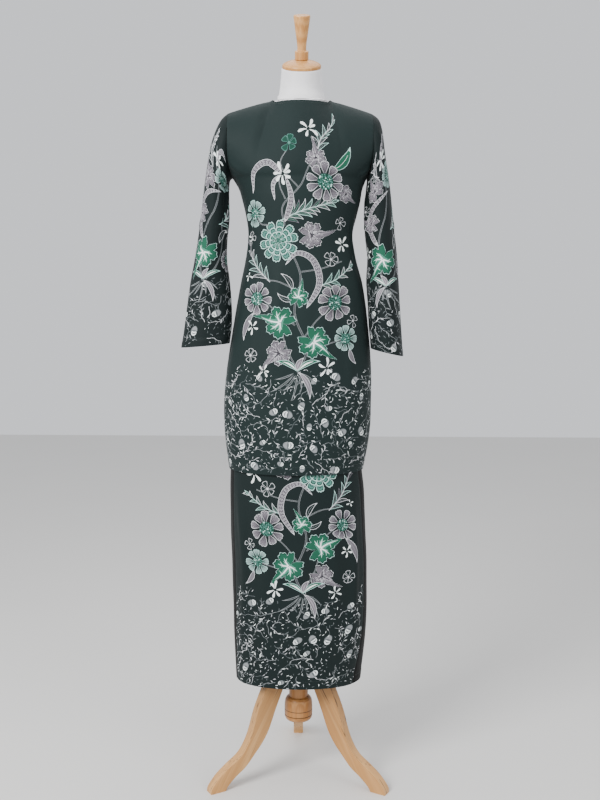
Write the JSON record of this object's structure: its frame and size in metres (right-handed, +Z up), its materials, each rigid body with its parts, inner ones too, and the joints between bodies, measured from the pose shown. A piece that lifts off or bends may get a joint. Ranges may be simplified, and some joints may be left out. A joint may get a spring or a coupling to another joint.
{
  "type": "baju kurung on a dress form with a tripod stand",
  "caption": "Long-sleeved floral tunic over an ankle-length skirt, worn by a limbless dress form with a turned wood cap and a curved-leg wooden tripod.",
  "frame": {"origin": "on the floor, at the middle of the bounding box", "axes": "+Z up, the front of the garment faces -Y, the wearer's left is +X"},
  "size_m": [0.5472, 0.3938, 1.8981],
  "materials": {
    "printed_cloth": "dark printed fabric with a soft sheen",
    "plain_cloth": "dark plain fabric",
    "form_white": "smooth white form",
    "pale_wood": "oiled, with a strong grain",
    "steel": "satin tube"
  },
  "bodies": {
    "root": {"tunic_front": "printed_cloth", "tunic_back": "printed_cloth", "sleeve_right": "printed_cloth", "sleeve_left": "printed_cloth", "skirt_front": "printed_cloth", "skirt_back": "plain_cloth", "skirt_waistband": "plain_cloth", "dress_form": "form_white", "neck_cap": "pale_wood", "finial": "pale_wood", "pole": "steel", "hub": "pale_wood", "leg_front_right": "pale_wood", "leg_front_left": "pale_wood", "leg_back": "pale_wood"}
  },
  "joints": []
}
